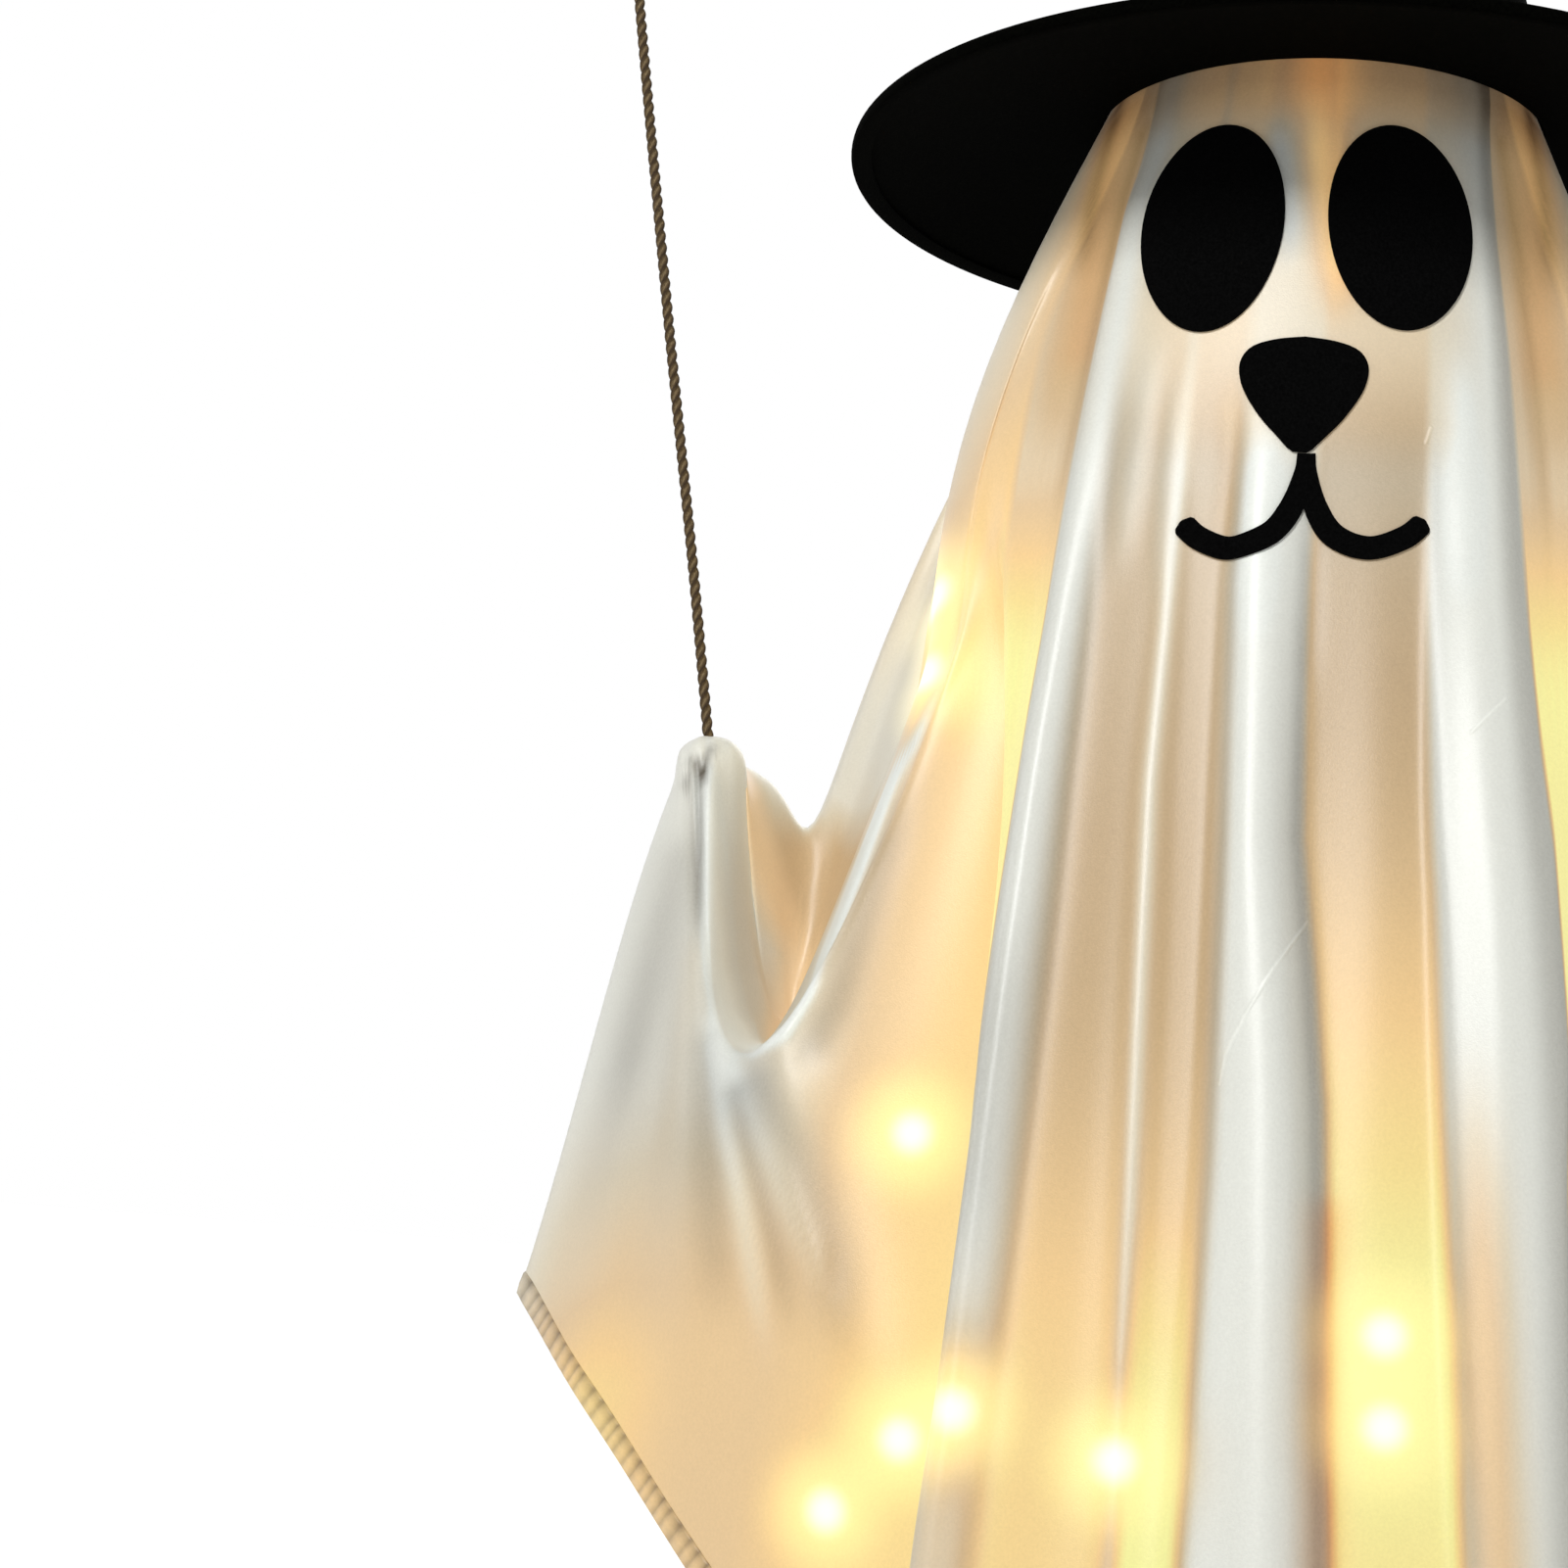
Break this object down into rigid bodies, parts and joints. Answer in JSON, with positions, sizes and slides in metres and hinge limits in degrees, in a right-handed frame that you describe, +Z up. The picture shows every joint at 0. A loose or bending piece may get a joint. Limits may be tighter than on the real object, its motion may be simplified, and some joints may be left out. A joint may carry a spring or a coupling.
{
  "type": "ghost dog decoration",
  "caption": "Lit ghost figure: a white satin sheet with a felt dog face over a globe head on a wire stand, a wide black hat, and two raised hands on twine.",
  "frame": {"origin": "on the floor at the middle of the stand's hoop, under the head", "axes": "+Z up; the face looks towards -Y; the hand that the picture shows is at -X"},
  "size_m": [0.6364, 0.4138, 1.0415],
  "materials": {
    "white_satin": "white satin, thin enough for lamps to glow through",
    "black_felt": "matt black felt",
    "hat_felt": "matt black hat felt",
    "hat_ribbon": "dark grey-green woven ribbon",
    "jute_twine": "twisted brown jute",
    "coated_wire": "zinc-coated steel wire",
    "milky_plastic": "milky translucent plastic",
    "hub_plastic": "light grey moulded plastic",
    "beech_bead": "plain turned beech",
    "lamp_lead": "bare lacquered copper wire",
    "warm_lamp": "clear resin drop over a warm lamp",
    "case_plastic": "light moulded plastic",
    "cell_sleeve": "plain sleeved cell",
    "slider_plastic": "black moulded plastic"
  },
  "bodies": {
    "root": {"base_hoop": "coated_wire", "battery_1": "cell_sleeve", "battery_2": "cell_sleeve", "battery_3": "cell_sleeve", "battery_case": "case_plastic", "battery_lid": "case_plastic", "brim_binding": "hat_felt", "case_clip": "coated_wire", "eye_left": "black_felt", "eye_right": "black_felt", "hand_bead_left": "beech_bead", "hand_bead_right": "beech_bead", "hanging_loop_left": "jute_twine", "hanging_loop_right": "jute_twine", "hat_band": "hat_ribbon", "hat_brim": "hat_felt", "hat_crown": "hat_felt", "head_globe": "milky_plastic", "knot_left": "jute_twine", "knot_right": "jute_twine", "lamp_01": "warm_lamp", "lamp_02": "warm_lamp", "lamp_03": "warm_lamp", "lamp_04": "warm_lamp", "lamp_05": "warm_lamp", "lamp_06": "warm_lamp", "lamp_07": "warm_lamp", "lamp_08": "warm_lamp", "lamp_09": "warm_lamp", "lamp_10": "warm_lamp", "lamp_11": "warm_lamp", "lamp_12": "warm_lamp", "lamp_13": "warm_lamp", "lamp_14": "warm_lamp", "lamp_15": "warm_lamp", "lamp_16": "warm_lamp", "lamp_lead": "lamp_lead", "leg_1": "coated_wire", "leg_2": "coated_wire", "leg_3": "coated_wire", "leg_4": "coated_wire", "lid_screw": "coated_wire", "middle_ring": "coated_wire", "mouth": "black_felt", "neck_hub": "hub_plastic", "nose": "black_felt", "sheet": "white_satin", "twine_left": "jute_twine", "twine_right": "jute_twine", "upper_ring": "coated_wire"},
    "switch": {"switch_slider": "slider_plastic"}
  },
  "joints": [
    {"name": "switch_slide", "type": "slide", "parent": "root", "child": "switch", "axis": [1, 0, 0], "range_m": [0, 0.004]}
  ]
}
